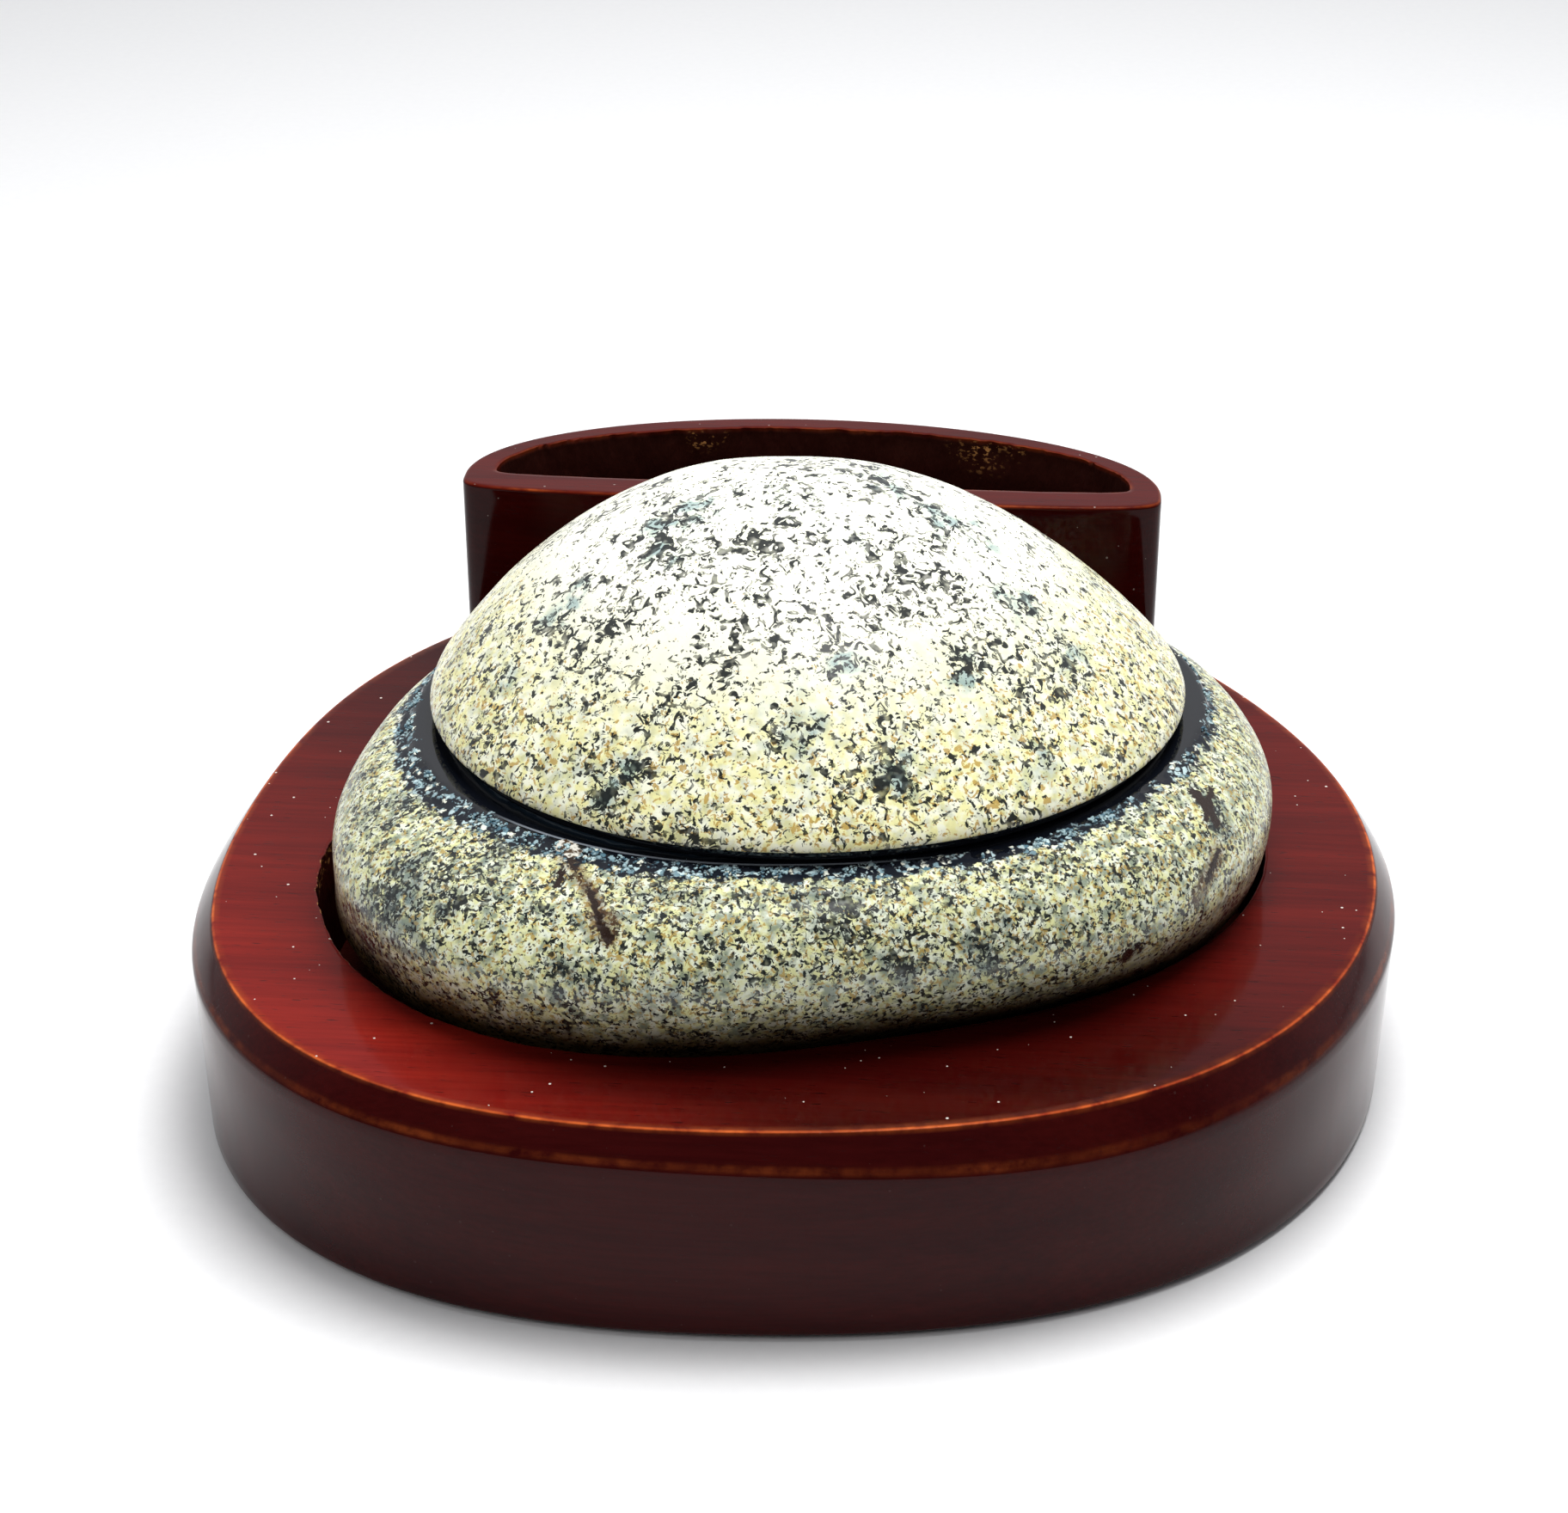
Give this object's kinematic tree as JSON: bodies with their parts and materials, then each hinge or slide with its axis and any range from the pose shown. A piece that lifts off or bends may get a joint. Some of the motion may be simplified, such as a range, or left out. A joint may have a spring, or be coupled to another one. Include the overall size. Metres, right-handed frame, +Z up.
{
  "type": "agate geode on wood stand",
  "caption": "Polished pebble geode cut into a bedded lower half and a domed lid, on a lacquered wood plinth with a D-shaped socket that holds the lid on edge.",
  "frame": {"origin": "under the middle of the plinth, on the surface that the pads stand on", "axes": "+Z up, +X along the flat front of the lid socket, -Y towards the viewer, so the socket is at +Y behind the stone"},
  "size_m": [0.2006, 0.2072, 0.1024],
  "materials": {
    "lacquered_wood": "glossy red-brown lacquer with orange rub-through on the edges",
    "socket_wood": "glossy red-brown lacquer, chiselled pocket walls",
    "lower_skin": "polished speckled cream and grey-green pebble skin, black polished cut",
    "upper_skin": "polished speckled cream pebble skin, black polished cut",
    "felt": "dark felt",
    "screw_metal": "plain brass wood screw"
  },
  "bodies": {
    "stand": {"plinth": "lacquered_wood", "lid_socket": "socket_wood", "foot_pad_1": "felt", "foot_pad_2": "felt", "foot_pad_3": "felt", "foot_pad_4": "felt", "socket_screw_1": "screw_metal", "socket_screw_2": "screw_metal"},
    "lower_half": {"lower_stone": "lower_skin"},
    "upper_half": {"upper_stone": "upper_skin"}
  },
  "joints": [
    {"name": "lower_lift", "type": "slide", "parent": "stand", "child": "lower_half", "axis": [0, 0, 1], "range_m": [0, 0.07]},
    {"name": "lid_lift", "type": "slide", "parent": "lower_half", "child": "upper_half", "axis": [0, 0, 1], "range_m": [0, 0.07]}
  ]
}
